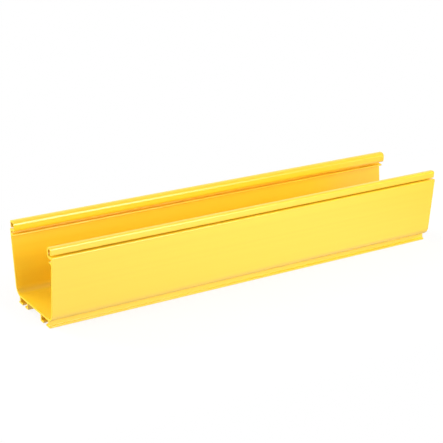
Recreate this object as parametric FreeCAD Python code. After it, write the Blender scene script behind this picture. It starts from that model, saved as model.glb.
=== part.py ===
"""Straight length of fibre optic raceway: one open plastic channel, extruded and cut square.

Frame, in millimetres: X runs along the channel, Y across it and Z up. The origin is at the
middle of the length and width, on the level that the two T-tracks stand on.
"""
import math
import os

import FreeCAD, Part

# Channel
LENGTH = 600.0            # square cut, end to end
HEIGHT = 100.0            # underside of the floor to the top of the rims
WALL = 2.6                # one thickness all round the channel, as a die gives it
FOOT_WIDTH = 110.8        # between the outer wall faces, carried down to the underside
WALL_LEAN = 5.9           # degrees that each wall leans outwards
FOOT_RADIUS = 14.0        # outside of the bend from floor to wall

# Rims: the wall turns in over a shelf, up, and back down as a hook for a clip-on cover
RIM_OPENING = 101.2       # clear width between the two rims
RIM_RADIUS = 5.8          # outside of the wide bend on top of the rim, on the trough's side
HOOK_WIDTH = 12.0         # over both legs of the hook, carried up to the top
HOOK_RADIUS = 2.9         # outside of the bend from the top into the outer leg
HOOK_LEAN = 6.0           # degrees that the outer leg leans back in
HOOK_GAP = 1.7            # tip of the hook down to the shelf
TIP_ROUND = 1.0           # both edges of the hook's tip
HOLLOW_ROUND = 0.4        # inner corner of the hook, behind the bend into the outer leg
SHELF_DROP = 11.6         # top of the rim down to the top of the shelf
SHELF_RISE = 0.9          # underside of the shelf, from the inner leg up to the wall
SHELF_RADIUS = 4.8        # outside of the bend from shelf to inner leg
SHOULDER_RADIUS = 1.5     # outer edge where the wall meets the shelf
POCKET_RADIUS = 1.0       # inner corner of wall and shelf

# Rib along the inside of each wall, under the shelf
RIB_DROP = 5.5            # shelf's underside at the wall down to the middle of the rib
RIB_THICKNESS = 2.6
RIB_REACH = 6.5           # inner wall face to the tip of the rib

# T-tracks under the floor, for sliding bolts and hanger clips
TRACK_SPACING = 65.0      # middle to middle
TRACK_DEPTH = 9.0         # underside of the floor down to the standing level
SLOT_WIDTH = 20.4         # inside the track
SLOT_MOUTH = 8.0          # between the lips
LIP_THICKNESS = 2.6
STEM_THICKNESS = 2.6
SIDE_FLANGE = 2.6         # reach of the outer rail's foot beyond its stem

# Small roundings
EDGE_ROUND = 0.5          # edges of the lips
ROOT_ROUND = 0.8          # corners where rails and ribs grow out of the channel

# A section point is (u, z): u is the distance from the middle plane, z the height
TOUCH = 0.01              # points nearer than this count as one


def at(side, u, z):
    """A section point on one side of the middle plane, in space."""
    return FreeCAD.Vector(0, side * u, z)


def bent_wire(corners, radii):
    """Straight runs between corners, with an arc at each inner corner; a full round has no run."""
    edges = []
    last = corners[0]
    for i in range(1, len(corners) - 1):
        before = (corners[i - 1] - corners[i]).normalize()
        after = (corners[i + 1] - corners[i]).normalize()
        half_angle = before.getAngle(after) / 2
        setback = radii[i - 1] / math.tan(half_angle)
        inward = (before + after).normalize()
        bend_depth = radii[i - 1] / math.sin(half_angle) - radii[i - 1]
        first = corners[i] + before * setback
        middle = corners[i] + inward * bend_depth
        second = corners[i] + after * setback
        if (first - last).Length > TOUCH:
            edges.append(Part.LineSegment(last, first).toShape())
        edges.append(Part.Arc(first, middle, second).toShape())
        last = second
    edges.append(Part.LineSegment(last, corners[-1]).toShape())
    return Part.Wire(edges)


def outline(points, side):
    """The flat section inside a closed run of section points."""
    corners = [at(side, u, z) for u, z in points]
    return Part.Face(Part.makePolygon(corners + corners[:1]))


# Levels and faces that follow from the sizes
lean = math.tan(math.radians(WALL_LEAN))
slant = 1 / math.cos(math.radians(WALL_LEAN))
hook_lean = math.tan(math.radians(HOOK_LEAN))
underside = TRACK_DEPTH
floor_top = underside + WALL
rim_top = underside + HEIGHT
shelf_top = rim_top - SHELF_DROP
shelf_low = shelf_top - WALL
hook_tip = shelf_top + HOOK_GAP
inner_leg = RIM_OPENING / 2
hook_outer = inner_leg + HOOK_WIDTH
rib_z = shelf_low - RIB_DROP
rib_low = rib_z - RIB_THICKNESS / 2
rib_high = rib_z + RIB_THICKNESS / 2


def wall_outer(z):
    """Distance from the middle plane to the outer face of the wall."""
    return FOOT_WIDTH / 2 + (z - underside) * lean


def wall_inner(z):
    """Distance from the middle plane to the inner face of the wall."""
    return wall_outer(z) - WALL * slant


def outer_leg(z, inset):
    """Distance from the middle plane to the hook's outer leg, a given way in from its outer face."""
    return hook_outer - inset - (rim_top - z) * hook_lean


rib_tip = wall_inner(rib_z) - RIB_REACH

# Middle of the foot bend, from which its curved faces follow
foot_centre_z = underside + FOOT_RADIUS
foot_centre_u = wall_outer(foot_centre_z) - FOOT_RADIUS * slant


def foot_height(u, radius):
    """Height of the floor or foot bend at a distance from the middle plane, on the given radius."""
    beyond = max(u - foot_centre_u, 0)
    return foot_centre_z - math.sqrt(radius ** 2 - beyond ** 2)


def channel_section():
    """Floor, walls, ribs and hooked rims as one outline with rounded corners."""
    hollow_top = rim_top - WALL
    half = [
        (wall_inner(floor_top), floor_top, FOOT_RADIUS - WALL),
        (wall_inner(rib_low), rib_low, ROOT_ROUND),
        (rib_tip, rib_low, RIB_THICKNESS / 2),
        (rib_tip, rib_high, RIB_THICKNESS / 2),
        (wall_inner(rib_high), rib_high, ROOT_ROUND),
        (wall_inner(shelf_low), shelf_low, POCKET_RADIUS),
        (inner_leg, shelf_low - SHELF_RISE, SHELF_RADIUS),
        (inner_leg, rim_top, RIM_RADIUS),
        (hook_outer, rim_top, HOOK_RADIUS),
        (outer_leg(hook_tip, 0), hook_tip, TIP_ROUND),
        (outer_leg(hook_tip, WALL), hook_tip, TIP_ROUND),
        (outer_leg(hollow_top, WALL), hollow_top, HOLLOW_ROUND),
        (inner_leg + WALL, hollow_top, RIM_RADIUS - WALL),
        (inner_leg + WALL, shelf_top, SHELF_RADIUS - WALL),
        (wall_outer(shelf_top), shelf_top, SHOULDER_RADIUS),
        (wall_outer(underside), underside, FOOT_RADIUS),
    ]
    start = at(1, 0, floor_top)
    far_side = [at(1, u, z) for u, z, radius in half]
    near_side = [at(-1, u, z) for u, z, radius in reversed(half)]
    radii = [radius for u, z, radius in half]
    return Part.Face(bent_wire([start] + far_side + near_side + [start], radii + radii[::-1]))


# Faces of the two rails of a track, from the middle plane outwards
track_middle = TRACK_SPACING / 2
slot_inner = track_middle - SLOT_WIDTH / 2
slot_outer = track_middle + SLOT_WIDTH / 2
mouth_inner = track_middle - SLOT_MOUTH / 2
mouth_outer = track_middle + SLOT_MOUTH / 2
rail_inner = slot_inner - STEM_THICKNESS
rail_outer = slot_outer + STEM_THICKNESS
flange_tip = rail_outer + SIDE_FLANGE


def inner_rail_section(side):
    """Rail nearer the middle: a stem with one lip under the slot."""
    root = foot_height(slot_inner, FOOT_RADIUS - WALL / 2)
    points = [
        (rail_inner, root),
        (rail_inner, 0),
        (mouth_inner, 0),
        (mouth_inner, LIP_THICKNESS),
        (slot_inner, LIP_THICKNESS),
        (slot_inner, root),
    ]
    return outline(points, side)


def outer_rail_section(side):
    """Rail nearer the wall: a stem with a lip under the slot and a flange to the outside."""
    root = foot_height(rail_outer, FOOT_RADIUS - WALL / 2)
    points = [
        (slot_outer, root),
        (slot_outer, LIP_THICKNESS),
        (mouth_outer, LIP_THICKNESS),
        (mouth_outer, 0),
        (flange_tip, 0),
        (flange_tip, LIP_THICKNESS),
        (rail_outer, LIP_THICKNESS),
        (rail_outer, root),
    ]
    return outline(points, side)


def edges_through(solid, points):
    """The lengthwise edges that pass through section points, on both sides."""
    found = []
    for edge in solid.Edges:
        if edge.BoundBox.XLength < LENGTH - TOUCH:
            continue
        u = abs(edge.Vertexes[0].Y)
        z = edge.Vertexes[0].Z
        if any(math.hypot(u - pu, z - pz) < TOUCH for pu, pz in points):
            found.append(edge)
    return found


def raceway_channel():
    """The whole section, extruded, with its rail edges and roots rounded."""
    along = FreeCAD.Vector(LENGTH, 0, 0)
    added = []
    for side in (-1, 1):
        added += [inner_rail_section(side), outer_rail_section(side)]
    solid = channel_section().extrude(along)
    solid = solid.fuse([section.extrude(along) for section in added]).removeSplitter().Solids[0]
    solid.translate(along * -0.5)
    lip_edges = [(u, z) for u in (mouth_inner, mouth_outer, flange_tip) for z in (0, LIP_THICKNESS)]
    lip_edges.append((rail_inner, 0))
    roots = [(u, foot_height(u, FOOT_RADIUS)) for u in (rail_inner, slot_inner, slot_outer, rail_outer)]
    roots += [(u, LIP_THICKNESS) for u in (slot_inner, slot_outer, rail_outer)]
    solid = solid.makeFillet(EDGE_ROUND, edges_through(solid, lip_edges))
    return solid.makeFillet(ROOT_ROUND, edges_through(solid, roots))


os.makedirs("parts", exist_ok=True)
channel = raceway_channel()
channel.exportStep("parts/raceway_channel.step")
box = channel.BoundBox
print(f"raceway_channel {box.XLength:.1f} x {box.YLength:.1f} x {box.ZLength:.1f} mm,"
      f" {channel.Volume / 1000:.0f} cm3, valid {channel.isValid()}")
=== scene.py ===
# %% [markdown]
# A straight length of fibre optic raceway: a yellow plastic channel that a die pressed out in
# one piece and a saw cut square. This lesson gives the solid that comes with the frame its
# finished look. The frame is loaded first, and its box is kept, because nothing made
# here may change the size of the real part.

# %% Load the frame
import math

import bmesh
import bpy
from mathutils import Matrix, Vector


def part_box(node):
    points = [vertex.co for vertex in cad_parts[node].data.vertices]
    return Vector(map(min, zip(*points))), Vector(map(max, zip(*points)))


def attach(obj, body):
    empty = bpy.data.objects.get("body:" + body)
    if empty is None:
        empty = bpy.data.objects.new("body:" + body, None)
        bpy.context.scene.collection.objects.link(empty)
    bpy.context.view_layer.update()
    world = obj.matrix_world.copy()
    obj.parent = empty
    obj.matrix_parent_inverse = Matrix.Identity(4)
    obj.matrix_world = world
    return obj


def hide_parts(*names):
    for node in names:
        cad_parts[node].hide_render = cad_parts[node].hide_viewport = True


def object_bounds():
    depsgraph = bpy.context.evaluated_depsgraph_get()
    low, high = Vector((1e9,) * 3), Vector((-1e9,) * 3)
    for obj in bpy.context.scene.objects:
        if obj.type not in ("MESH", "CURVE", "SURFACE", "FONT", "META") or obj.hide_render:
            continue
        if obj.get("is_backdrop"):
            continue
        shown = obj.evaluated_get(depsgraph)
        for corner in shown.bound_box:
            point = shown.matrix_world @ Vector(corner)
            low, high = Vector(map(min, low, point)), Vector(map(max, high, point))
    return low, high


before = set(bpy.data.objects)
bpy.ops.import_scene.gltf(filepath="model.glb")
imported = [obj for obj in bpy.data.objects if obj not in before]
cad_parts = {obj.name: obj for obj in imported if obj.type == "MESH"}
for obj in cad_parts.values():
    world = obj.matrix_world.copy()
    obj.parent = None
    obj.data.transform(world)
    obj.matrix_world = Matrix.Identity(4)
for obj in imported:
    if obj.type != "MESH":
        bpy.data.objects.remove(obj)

cad_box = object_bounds()
NODE = "raceway_channel"
low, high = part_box(NODE)
LENGTH = high.x - low.x
RIM_TOP = high.z
print("frame: length %.3f, width %.3f, height %.3f m" % tuple(high - low))

# %% [markdown]
# The channel. One wall thickness runs all the way round, because plastic leaves a die evenly
# only where the gaps are even. The two walls lean outwards, so that lengths of channel nest
# for transport and cables drop in easily. These sizes drive every corner of the section;
# the length and the height of the rims come from the frame.

# %% Sizes of the channel
MM = 0.001
WALL = 2.6 * MM             # thickness all round
UNDERSIDE = 9.0 * MM        # lower face of the floor, above the tracks' standing level
FOOT_HALF = 55.4 * MM       # middle plane to the outer wall face, carried down to the underside
LEAN = math.radians(5.9)    # each wall leans outwards
FOOT_BEND = 14.0 * MM       # outside of the bend from floor to wall
FLOOR_TOP = UNDERSIDE + WALL


def wall_outside(z):
    """Distance from the middle plane to the outer wall face at a height."""
    return FOOT_HALF + (z - UNDERSIDE) * math.tan(LEAN)


def wall_inside(z):
    """Distance from the middle plane to the inner wall face at a height."""
    return wall_outside(z) - WALL / math.cos(LEAN)


print("walls %.1f mm apart at the floor, %.1f mm at the rims"
      % (2 * wall_inside(FLOOR_TOP) / MM, 2 * wall_inside(RIM_TOP) / MM))

# %% [markdown]
# The rim and the rib. At the top each wall turns in over a shelf, then up, and back down as a
# hook whose free leg a clip-on cover grips from below. That leg leans in a little and ends
# just over the shelf, so from outside only a thin dark groove shows. Under the shelf a small
# rib with a round nose runs along the inside. A section like this is easiest to read as a list
# of sharp corners, each with the radius of the bend that will round it, so that is how it is
# kept: distance from the middle plane, height, radius.

# %% Corners from the middle of the floor up to the rim
RIM_HALF = 50.6 * MM        # middle plane to the inner face of the rim
RIM_BEND = 5.8 * MM         # wide bend on top of the rim, on the trough's side
HOOK_FACE = RIM_HALF + 12.0 * MM
HOOK_BEND = 2.9 * MM        # outside of the bend from the top into the outer leg
HOOK_LEAN = math.radians(6.0)
SHELF_TOP = RIM_TOP - 11.6 * MM
SHELF_LOW = SHELF_TOP - WALL
SHELF_RISE = 0.9 * MM       # underside of the shelf, from the inner leg up to the wall
SHELF_BEND = 4.8 * MM       # outside of the bend from shelf to inner leg
SHOULDER_BEND = 1.5 * MM    # outer edge where the wall meets the shelf
POCKET_BEND = 1.0 * MM      # inner corner of wall and shelf
HOOK_TIP = SHELF_TOP + 1.7 * MM
TIP_ROUND = 1.0 * MM
HOLLOW_ROUND = 0.4 * MM     # inner corner of the hook, behind the bend into the outer leg
RIB_HALF = 1.3 * MM         # half the rib's thickness
RIB_MIDDLE = SHELF_LOW - 5.5 * MM
RIB_TIP = wall_inside(RIB_MIDDLE) - 6.5 * MM
ROOT = 0.8 * MM             # rounded corner where a rib or rail grows out of the channel

rib_low, rib_high = RIB_MIDDLE - RIB_HALF, RIB_MIDDLE + RIB_HALF
hollow_top = RIM_TOP - WALL


def outer_leg(z, inset):
    """Distance from the middle plane to the hook's outer leg, a given way in from its face."""
    return HOOK_FACE - inset - (RIM_TOP - z) * math.tan(HOOK_LEAN)


corners = [
    (0.0, FLOOR_TOP, 0.0),
    (wall_inside(FLOOR_TOP), FLOOR_TOP, FOOT_BEND - WALL),
    (wall_inside(rib_low), rib_low, ROOT),
    (RIB_TIP, rib_low, RIB_HALF),
    (RIB_TIP, rib_high, RIB_HALF),
    (wall_inside(rib_high), rib_high, ROOT),
    (wall_inside(SHELF_LOW), SHELF_LOW, POCKET_BEND),
    (RIM_HALF, SHELF_LOW - SHELF_RISE, SHELF_BEND),
    (RIM_HALF, RIM_TOP, RIM_BEND),
    (HOOK_FACE, RIM_TOP, HOOK_BEND),
    (outer_leg(HOOK_TIP, 0.0), HOOK_TIP, TIP_ROUND),
    (outer_leg(HOOK_TIP, WALL), HOOK_TIP, TIP_ROUND),
    (outer_leg(hollow_top, WALL), hollow_top, HOLLOW_ROUND),
    (RIM_HALF + WALL, hollow_top, RIM_BEND - WALL),
    (RIM_HALF + WALL, SHELF_TOP, SHELF_BEND - WALL),
    (wall_outside(SHELF_TOP), SHELF_TOP, SHOULDER_BEND),
]
print(len(corners), "corners up to the shoulder")

# %% [markdown]
# The tracks. Under the floor two pairs of rails make T-slots, in which the heads of bolts and
# hanger clips slide. The outer rail grows out of the foot bend, so that bend stops early,
# where the rail's stem begins. Two lines that touch an arc meet on the arc's middle ray, and
# that point is the sharp corner which the bend's radius rounds.

# %% Corners from the foot bend along the underside
TRACK_MIDDLE = 32.5 * MM
SLOT_HALF = 10.2 * MM       # half the slot's width
MOUTH_HALF = 4.0 * MM       # half the gap between the lips
STEM = 2.6 * MM
FLANGE = 2.6 * MM           # reach of the outer rail's foot beyond its stem
LIP = 2.6 * MM              # thickness of lips and flange
LIP_ROUND = 0.5 * MM

slot_in, slot_out = TRACK_MIDDLE - SLOT_HALF, TRACK_MIDDLE + SLOT_HALF
mouth_in, mouth_out = TRACK_MIDDLE - MOUTH_HALF, TRACK_MIDDLE + MOUTH_HALF
rail_in, rail_out = slot_in - STEM, slot_out + STEM

foot_z = UNDERSIDE + FOOT_BEND
foot_u = wall_outside(foot_z) - FOOT_BEND / math.cos(LEAN)
bend_end = math.asin((rail_out + ROOT - foot_u) / FOOT_BEND) - math.pi / 2
bend_middle = (bend_end - LEAN) / 2
bend_reach = FOOT_BEND / math.cos((bend_end + LEAN) / 2)
foot_corner_u = foot_u + bend_reach * math.cos(bend_middle)
foot_corner_z = foot_z + bend_reach * math.sin(bend_middle)
end_slope = math.tan(bend_end + math.pi / 2)
stem_top = foot_corner_z - (foot_corner_u - rail_out) * end_slope

corners += [
    (foot_corner_u, foot_corner_z, FOOT_BEND),
    (rail_out, stem_top, ROOT),
    (rail_out, LIP, ROOT),
    (rail_out + FLANGE, LIP, LIP_ROUND),
    (rail_out + FLANGE, 0.0, LIP_ROUND),
    (mouth_out, 0.0, LIP_ROUND),
    (mouth_out, LIP, LIP_ROUND),
    (slot_out, LIP, ROOT),
    (slot_out, UNDERSIDE, ROOT),
    (slot_in, UNDERSIDE, ROOT),
    (slot_in, LIP, ROOT),
    (mouth_in, LIP, LIP_ROUND),
    (mouth_in, 0.0, LIP_ROUND),
    (rail_in, 0.0, LIP_ROUND),
    (rail_in, UNDERSIDE, ROOT),
    (0.0, UNDERSIDE, 0.0),
]
print(len(corners), "corners in half of the section")

# %% [markdown]
# Drawing the section. A bevel on the corners would be quick, but on corners that aren't square
# it gives a slightly oval arc. So the outline is drawn as a pen would draw it: a straight run
# up to each bend, then the spin operator turns the pen's point about the middle of the bend.
# Only half is drawn, since mirror gives the other half and the same shape on both sides.

# %% Draw half the outline with runs and bends
SAME_POINT = 0.002 * MM     # points nearer than this are merged


def bend_steps(radius):
    """More steps on wide bends, so that every arc looks round."""
    return 4 + round(radius / MM)


def draw_to(bm, pen, place):
    """A straight run from the pen to a place; gives the pen there."""
    tip = bmesh.ops.extrude_vert_indiv(bm, verts=[pen])["verts"][0]
    tip.co = place
    return tip


def draw_bend(bm, pen, corner, following, radius):
    """A run to the bend at a corner, and the bend towards the corner that follows."""
    back = (pen.co - corner).normalized()
    onward = (following - corner).normalized()
    half_angle = back.angle(onward) / 2
    start = corner + back * (radius / math.tan(half_angle))
    middle = corner + (back + onward).normalized() * (radius / math.sin(half_angle))
    turn = math.copysign(math.pi - 2 * half_angle, onward.cross(back).x)
    pen = draw_to(bm, pen, start)
    spun = bmesh.ops.spin(bm, geom=[pen], cent=middle, axis=(1, 0, 0), angle=turn,
                          steps=bend_steps(radius))
    return spun["geom_last"][0]


places = [Vector((low.x, u, z)) for u, z, radius in corners]
section = bmesh.new()
pen = section.verts.new(places[0])
for i in range(1, len(places) - 1):
    pen = draw_bend(section, pen, places[i], places[i + 1], corners[i][2])
draw_to(section, pen, places[-1])
bmesh.ops.remove_doubles(section, verts=section.verts, dist=SAME_POINT)
print("half outline:", len(section.verts), "points")

# %% [markdown]
# From outline to channel. Mirror closes the loop, one face fills it, and extruding that face
# along X does what the die does. A curve with this profile could be swept as well, but then
# its ends couldn't be worked on. A saw leaves a keen edge that is broken by hand, so the rims
# of the two cut faces get a very small bevel, which also catches the light as a real edge does.

# %% Mirror, fill, extrude and ease the sawn ends
EASED = 0.22 * MM           # width of the broken edge
bmesh.ops.mirror(section, geom=section.verts[:] + section.edges[:], axis="Y",
                 merge_dist=SAME_POINT)
bmesh.ops.edgeloop_fill(section, edges=section.edges)
pushed = bmesh.ops.extrude_face_region(section, geom=section.faces[:])["geom"]
bmesh.ops.translate(section, vec=(LENGTH, 0, 0),
                    verts=[g for g in pushed if isinstance(g, bmesh.types.BMVert)])
bmesh.ops.recalc_face_normals(section, faces=section.faces)

ends = [face for face in section.faces if abs(face.normal.x) > 0.9]
rims = list({edge for face in ends for edge in face.edges})
bmesh.ops.bevel(section, geom=rims, offset=EASED, offset_type="OFFSET", affect="EDGES",
                segments=3, profile=0.5, material=-1)
bmesh.ops.recalc_face_normals(section, faces=section.faces)
open_edges = sum(not edge.is_manifold for edge in section.edges)
print("channel:", len(section.faces), "faces,", open_edges, "open edges")

# %% [markdown]
# The finished piece. Each face is told whether it is extruded skin or sawn end, and shading is
# smooth everywhere, because no edge here is truly sharp. Plain smooth shading would let the
# bends tint the wide flat walls, so a Weighted Normal modifier lets the largest face at each
# edge decide. The piece stands for the solid of the frame and rides on its only body.

# %% Make the object
SKIN, SAWN = 0, 1
for face in section.faces:
    face.smooth = True
    at_end = abs(face.calc_center_median().x) > LENGTH / 2 - EASED
    face.material_index = SAWN if at_end else SKIN

mesh = bpy.data.meshes.new("channel_body")
section.to_mesh(mesh)
section.free()
channel = bpy.data.objects.new("channel_body", mesh)
bpy.context.scene.collection.objects.link(channel)
channel.modifiers.new("flat walls stay flat", "WEIGHTED_NORMAL")
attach(channel, "root")
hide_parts(NODE)
print("sawn faces:", sum(p.material_index == SAWN for p in mesh.polygons))

# %% [markdown]
# Streaks. Molten plastic drags along the die, so everything that varies on an extrusion is
# drawn out along its length: gloss, colour, and fine lines you can feel with a nail. A picture
# of such streaks would blur close up. A noise texture whose coordinates are squeezed along X
# gives them at any size. Skin and sawn ends both need it, so it is one node group with its
# own inputs.

# %% Node group for streaks
NOISE_LOW, NOISE_HIGH = 0.3, 0.7    # most of the noise lies between these


def add_node(tree, kind, **settings):
    """A new node, with its properties set and its inputs given by name."""
    node = tree.nodes.new(kind)
    for name, value in settings.items():
        if name in node.inputs:
            node.inputs[name].default_value = value
        else:
            setattr(node, name, value)
    return node


streaks = bpy.data.node_groups.new("streaks", "ShaderNodeTree")
for name, default in (("Along", 1.0), ("Across", 100.0), ("Low", 0.0), ("High", 1.0)):
    socket = streaks.interface.new_socket(name, in_out="INPUT", socket_type="NodeSocketFloat")
    socket.default_value = default
streaks.interface.new_socket("Value", in_out="OUTPUT", socket_type="NodeSocketFloat")

inside = add_node(streaks, "NodeGroupInput")
coords = add_node(streaks, "ShaderNodeTexCoord")
scale = add_node(streaks, "ShaderNodeCombineXYZ")
stretch = add_node(streaks, "ShaderNodeMapping")
noise = add_node(streaks, "ShaderNodeTexNoise", Scale=1.0, Detail=3.0, Roughness=0.6)
spread = add_node(streaks, "ShaderNodeMapRange", clamp=True)
spread.inputs["From Min"].default_value = NOISE_LOW
spread.inputs["From Max"].default_value = NOISE_HIGH
outside = add_node(streaks, "NodeGroupOutput")
streaks.links.new(inside.outputs["Along"], scale.inputs["X"])
streaks.links.new(inside.outputs["Across"], scale.inputs["Y"])
streaks.links.new(inside.outputs["Across"], scale.inputs["Z"])
streaks.links.new(coords.outputs["Object"], stretch.inputs["Vector"])
streaks.links.new(scale.outputs["Vector"], stretch.inputs["Scale"])
streaks.links.new(stretch.outputs["Vector"], noise.inputs["Vector"])
streaks.links.new(noise.outputs["Fac"], spread.inputs["Value"])
streaks.links.new(inside.outputs["Low"], spread.inputs["To Min"])
streaks.links.new(inside.outputs["High"], spread.inputs["To Max"])
streaks.links.new(spread.outputs["Result"], outside.inputs["Value"])
print("streaks group:", len(streaks.nodes), "nodes")

# %% [markdown]
# The extruded skin. Rigid PVC leaves the die with a satin skin: soft reflections, a clean warm
# yellow. The colour drifts by a hair from streak to streak, the gloss by a little more, and
# shallow die lines bend the reflections along the length.

# %% Material of the extruded skin
YELLOW = (0.98, 0.64, 0.026, 1.0)
YELLOW_DEEP = (0.97, 0.61, 0.022, 1.0)
TINT_STREAKS = (1.2, 140.0, 0.0, 1.0)       # along and across per metre, lowest, highest
GLOSS_STREAKS = (2.0, 260.0, 0.28, 0.34)
DIE_LINES = (1.5, 700.0, 0.0, 1.0)


def add_streaks(tree, along, across, low, high):
    """The streaks group, placed in a material with its own values."""
    node = add_node(tree, "ShaderNodeGroup", node_tree=streaks)
    for name, value in (("Along", along), ("Across", across), ("Low", low), ("High", high)):
        node.inputs[name].default_value = value
    return node.outputs["Value"]


def new_material(name):
    """A material with node tree, its tree and its main shader."""
    material = bpy.data.materials.new(name)
    material.use_nodes = True
    return material, material.node_tree, material.node_tree.nodes["Principled BSDF"]


skin, tree, shader = new_material("yellow_extruded_skin")
shader.inputs["IOR"].default_value = 1.58
shader.inputs["Specular IOR Level"].default_value = 1.0
tint = add_node(tree, "ShaderNodeMix", data_type="RGBA")
tint.inputs["A"].default_value = YELLOW
tint.inputs["B"].default_value = YELLOW_DEEP
tree.links.new(add_streaks(tree, *TINT_STREAKS), tint.inputs["Factor"])
tree.links.new(tint.outputs["Result"], shader.inputs["Base Color"])
tree.links.new(add_streaks(tree, *GLOSS_STREAKS), shader.inputs["Roughness"])
lines = add_node(tree, "ShaderNodeBump", Strength=0.08, Distance=0.06 * MM)
tree.links.new(add_streaks(tree, *DIE_LINES), lines.inputs["Height"])
tree.links.new(lines.outputs["Normal"], shader.inputs["Normal"])
print("skin:", len(tree.nodes), "nodes")

# %% [markdown]
# The sawn ends. A circular saw leaves a paler, duller face with shallow curved marks, all
# parts of large circles about the blade's middle. Cut into the mesh they would take thousands
# of faces, so they are a bump: a wave texture in rings makes them when its middle is moved
# well below and beside the channel, as far as a blade's radius.

# %% Material of the sawn ends
BLADE_MIDDLE = (0.0, -0.06, -0.15)
MARKS_PER_METRE = 260.0
SAWN_GLOSS = (300.0, 300.0, 0.5, 0.66)

sawn, tree, shader = new_material("yellow_sawn_end")
shader.inputs["IOR"].default_value = 1.53
shader.inputs["Base Color"].default_value = YELLOW
coords = add_node(tree, "ShaderNodeTexCoord")
blade = add_node(tree, "ShaderNodeMapping", vector_type="POINT")
blade.inputs["Location"].default_value = [-c for c in BLADE_MIDDLE]
rings = add_node(tree, "ShaderNodeTexWave", wave_type="RINGS", rings_direction="X",
                 Scale=MARKS_PER_METRE, Distortion=1.5, Detail=2.0)
tree.links.new(coords.outputs["Object"], blade.inputs["Vector"])
tree.links.new(blade.outputs["Vector"], rings.inputs["Vector"])
tree.links.new(add_streaks(tree, *SAWN_GLOSS), shader.inputs["Roughness"])
marks = add_node(tree, "ShaderNodeBump", Strength=0.4, Distance=0.08 * MM)
tree.links.new(rings.outputs["Fac"], marks.inputs["Height"])
tree.links.new(marks.outputs["Normal"], shader.inputs["Normal"])

mesh.materials.append(skin)
mesh.materials.append(sawn)
print("materials on the channel:", [m.name for m in mesh.materials])

# %% [markdown]
# The floor. The channel lies on a white table that runs into a white background. A wide sheet
# just under the tracks is enough, because the background is as white as the sheet and no
# edge between them shows.

# %% Sheet of the floor
FLOOR_SIZE = 12.0
FLOOR_GAP = 0.3 * MM

bm = bmesh.new()
bmesh.ops.create_grid(bm, x_segments=1, y_segments=1, size=FLOOR_SIZE / 2)
bmesh.ops.translate(bm, verts=bm.verts, vec=(0, 0, low.z - FLOOR_GAP))
floor_mesh = bpy.data.meshes.new("white_floor")
bm.to_mesh(floor_mesh)
bm.free()
floor = bpy.data.objects.new("white_floor", floor_mesh)
bpy.context.scene.collection.objects.link(floor)
floor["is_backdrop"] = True
print("floor at %.4f m" % (low.z - FLOOR_GAP))

# %% [markdown]
# White that is seen. A white floor could be lit until it is white, but that much light would
# wash out the plastic. So the floor shines with strength 1, and close to the channel a small
# share of it stays matt, which keeps the soft shadow. In reflections the floor grows dimmer
# to the right, as if white paper ended there, so that the right ends of the walls stay a
# deep yellow.

# %% Masks for the shadow and for the end of the paper
SHADOW_SHARE = 0.18         # matt part of the floor beside the channel
SHADOW_FULL = 0.12          # the share starts to fade at this distance from the middle
SHADOW_GONE = 0.34          # and is gone at this one, both measured across the channel
PAPER_FULL = 0.15           # the reflected paper starts to fade at this place along the channel
PAPER_GONE = 0.55           # and has its lowest strength from here on
PAPER_LEAST = 0.3


def add_ramp(tree, start, stop, first, last):
    """A smooth change from one value to another while the input runs over a range."""
    ramp = add_node(tree, "ShaderNodeMapRange", interpolation_type="SMOOTHSTEP", clamp=True)
    for name, value in (("From Min", start), ("From Max", stop),
                        ("To Min", first), ("To Max", last)):
        ramp.inputs[name].default_value = value
    return ramp


white, tree, shader = new_material("white_floor")
coords = add_node(tree, "ShaderNodeTexCoord")
oval = add_node(tree, "ShaderNodeMapping", vector_type="POINT")
oval.inputs["Scale"].default_value = ((high.y - low.y) / LENGTH, 1.0, 0.0)
away = add_node(tree, "ShaderNodeVectorMath", operation="LENGTH")
shadow = add_ramp(tree, SHADOW_FULL, SHADOW_GONE, 1.0 - SHADOW_SHARE, 1.0)
tree.links.new(coords.outputs["Object"], oval.inputs["Vector"])
tree.links.new(oval.outputs["Vector"], away.inputs[0])
tree.links.new(away.outputs["Value"], shadow.inputs["Value"])

along = add_node(tree, "ShaderNodeSeparateXYZ")
paper = add_ramp(tree, PAPER_FULL, PAPER_GONE, 1.0, PAPER_LEAST)
path = add_node(tree, "ShaderNodeLightPath")
strength = add_node(tree, "ShaderNodeMix", data_type="FLOAT", A=1.0)
glow = add_node(tree, "ShaderNodeEmission")
tree.links.new(coords.outputs["Object"], along.inputs["Vector"])
tree.links.new(along.outputs["X"], paper.inputs["Value"])
tree.links.new(path.outputs["Is Glossy Ray"], strength.inputs["Factor"])
tree.links.new(paper.outputs["Result"], strength.inputs["B"])
tree.links.new(strength.outputs["Result"], glow.inputs["Strength"])
print("floor masks:", len(tree.nodes), "nodes")

# %% [markdown]
# Light that the floor gives back. Light that bounces off it meets a greyer paint, because a
# white one would make the walls look flat. The table also glows a little, as a light table
# does, which reaches the foot bends and the tracks. From below the floor is clear, so that
# the tracks can be looked at.

# %% Paint and glow of the floor
SEEN_PAINT = (0.9, 0.9, 0.9, 1.0)
BOUNCE_PAINT = (0.3, 0.3, 0.3, 1.0)
TABLE_GLOW = 0.4


def seen_rays(tree):
    """1 where a camera, glossy or transmission ray looks, and 0 for light that bounces."""
    path = add_node(tree, "ShaderNodeLightPath")
    first = add_node(tree, "ShaderNodeMath", operation="MAXIMUM")
    second = add_node(tree, "ShaderNodeMath", operation="MAXIMUM")
    tree.links.new(path.outputs["Is Camera Ray"], first.inputs[0])
    tree.links.new(path.outputs["Is Glossy Ray"], first.inputs[1])
    tree.links.new(first.outputs["Value"], second.inputs[0])
    tree.links.new(path.outputs["Is Transmission Ray"], second.inputs[1])
    return second.outputs["Value"]


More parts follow.
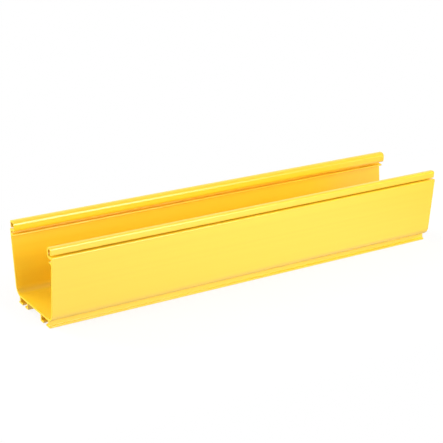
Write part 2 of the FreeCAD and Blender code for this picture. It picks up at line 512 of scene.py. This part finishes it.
seen = seen_rays(tree)
shader.inputs["Roughness"].default_value = 1.0
shader.inputs["Specular IOR Level"].default_value = 0.0
paint = add_node(tree, "ShaderNodeMix", data_type="RGBA")
paint.inputs["A"].default_value = BOUNCE_PAINT
paint.inputs["B"].default_value = SEEN_PAINT
share = add_node(tree, "ShaderNodeMath", operation="MULTIPLY")
table = add_node(tree, "ShaderNodeMath", operation="MAXIMUM")
table.inputs[1].default_value = TABLE_GLOW
lit = add_node(tree, "ShaderNodeMixShader")
faces = add_node(tree, "ShaderNodeNewGeometry")
clear = add_node(tree, "ShaderNodeBsdfTransparent")
sided = add_node(tree, "ShaderNodeMixShader")
tree.links.new(seen, paint.inputs["Factor"])
tree.links.new(paint.outputs["Result"], shader.inputs["Base Color"])
tree.links.new(seen, share.inputs[0])
tree.links.new(shadow.outputs["Result"], share.inputs[1])
tree.links.new(share.outputs["Value"], table.inputs[0])
tree.links.new(table.outputs["Value"], lit.inputs["Fac"])
tree.links.new(shader.outputs["BSDF"], lit.inputs[1])
tree.links.new(glow.outputs["Emission"], lit.inputs[2])
tree.links.new(faces.outputs["Backfacing"], sided.inputs["Fac"])
tree.links.new(lit.outputs["Shader"], sided.inputs[1])
tree.links.new(clear.outputs["BSDF"], sided.inputs[2])
tree.links.new(sided.outputs["Shader"], tree.nodes["Material Output"].inputs["Surface"])
floor_mesh.materials.append(white)
print("floor material:", len(tree.nodes), "nodes")

# %% [markdown]
# The white room. Its even light reaches the channel from everywhere and is kept weak, so that
# the softboxes can give the channel its form. The camera sees a pure white wall. Reflections
# see a room that grows dimmer upwards, most of all in front, because a white ceiling there
# would draw a pale stripe along the bend between floor and wall. Overhead and behind it stays
# brighter, which keeps the tops of the rims pale.

# %% World
ROOM_LIGHT = 0.3
FRONT_CEILING = 0.1         # strengths in reflections; the walls of the room have 1
BACK_CEILING = 0.6
WALL_TOP = 0.15             # upward part of the direction in which the dimming starts
CEILING = 0.6               # and in which it is done
FRONT = -0.35               # backward part of the direction in which the front ceiling ends
BACK = 0.05                 # and from which the back ceiling has its full strength

scene = bpy.context.scene
scene.view_settings.view_transform = "Standard"
world = bpy.data.worlds.new("white_room")
scene.world = world
world.use_nodes = True
tree = world.node_tree
room = tree.nodes["Background"]
room.inputs["Color"].default_value = (1.0, 1.0, 1.0, 1.0)
room.inputs["Strength"].default_value = ROOM_LIGHT
backdrop = add_node(tree, "ShaderNodeBackground", Color=(1.0, 1.0, 1.0, 1.0))
coords = add_node(tree, "ShaderNodeTexCoord")
direction = add_node(tree, "ShaderNodeSeparateXYZ")
ceiling = add_ramp(tree, WALL_TOP, CEILING, 1.0, FRONT_CEILING)
overhead = add_ramp(tree, FRONT, BACK, FRONT_CEILING, BACK_CEILING)
path = add_node(tree, "ShaderNodeLightPath")
wall = add_node(tree, "ShaderNodeMath", operation="MAXIMUM")
tree.links.new(coords.outputs["Generated"], direction.inputs["Vector"])
tree.links.new(direction.outputs["Z"], ceiling.inputs["Value"])
tree.links.new(direction.outputs["Y"], overhead.inputs["Value"])
tree.links.new(overhead.outputs["Result"], ceiling.inputs["To Max"])
tree.links.new(ceiling.outputs["Result"], wall.inputs[0])
tree.links.new(path.outputs["Is Camera Ray"], wall.inputs[1])
tree.links.new(wall.outputs["Value"], backdrop.inputs["Strength"])
mixed = add_node(tree, "ShaderNodeMixShader")
tree.links.new(seen_rays(tree), mixed.inputs["Fac"])
tree.links.new(room.outputs["Background"], mixed.inputs[1])
tree.links.new(backdrop.outputs["Background"], mixed.inputs[2])
tree.links.new(mixed.outputs["Shader"], tree.nodes["World Output"].inputs["Surface"])
print("world:", len(tree.nodes), "nodes")

# %% [markdown]
# The softboxes. A single lamp would leave hard shadows in the trough, so four wide ones share
# the work. The one in front is low and close: the near wall is brightest near its middle, and
# over its rim only the upper part of the far wall is reached. One beyond each end shines along
# the trough. The one behind lights the tops of the rims and the inside of the near wall, which
# throws golden light back across the trough. Only the front softbox shows in reflections, as a
# line along the rims; the others would turn the trough white for a camera that looks in from
# the end.

# %% Lamps
middle = (low + high) / 2


def add_softbox(name, place, width, height, power, mirrored=False):
    """A rectangular lamp that faces the channel's middle; reflections show it if mirrored."""
    data = bpy.data.lights.new(name, "AREA")
    data.shape = "RECTANGLE"
    data.size, data.size_y = width, height
    data.energy = power
    lamp = bpy.data.objects.new(name, data)
    bpy.context.scene.collection.objects.link(lamp)
    lamp.visible_glossy = mirrored
    lamp.location = place
    lamp.rotation_euler = (middle - Vector(place)).to_track_quat("-Z", "Y").to_euler()
    return lamp


add_softbox("softbox_front", (0.05, -0.95, 0.44), 0.9, 0.5, 8.8, mirrored=True)
add_softbox("softbox_left", (-2.2, 0.15, 0.7), 0.8, 0.8, 25.0)
add_softbox("softbox_right", (2.1, -0.45, 0.9), 0.9, 0.9, 36.0)
add_softbox("softbox_back", (-1.0, 1.9, 1.3), 1.8, 0.9, 50.0)

# %% [markdown]
# The camera. The edges of the channel in the photograph give its place: where the lines along
# the length run together fixes the direction, and how quickly they do so fixes the distance
# and the lens. It stands to the left, in front and above, and looks down by about 19 degrees.

# %% Camera
EYE = (-0.8106, -1.2583, 0.5908)
TURN = math.radians(-32.05)     # to the right of straight ahead
TILT = math.radians(90.0 - 19.21)
LENS = 94.36
SENSOR = 36.0                   # width, in millimetres like the lens

camera_data = bpy.data.cameras.new("photo_camera")
camera_data.lens = LENS
camera_data.sensor_width = SENSOR
camera = bpy.data.objects.new("photo_camera", camera_data)
scene.collection.objects.link(camera)
camera.location = EYE
camera.rotation_euler = (TILT, 0.0, TURN)
scene.camera = camera
print("camera %.2f m from the channel's middle" % (Vector(EYE) - middle).length)

# %% [markdown]
# Last, the sizes. The finished look must fill the same box as the solid, so both boxes are
# measured and compared, and the largest difference between them is printed.

# %% Compare the boxes
visual_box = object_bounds()
difference = max(abs(a - b) for c, v in zip(cad_box, visual_box) for a, b in zip(c, v))
print("largest difference between the boxes: %.3f mm" % (difference / MM))
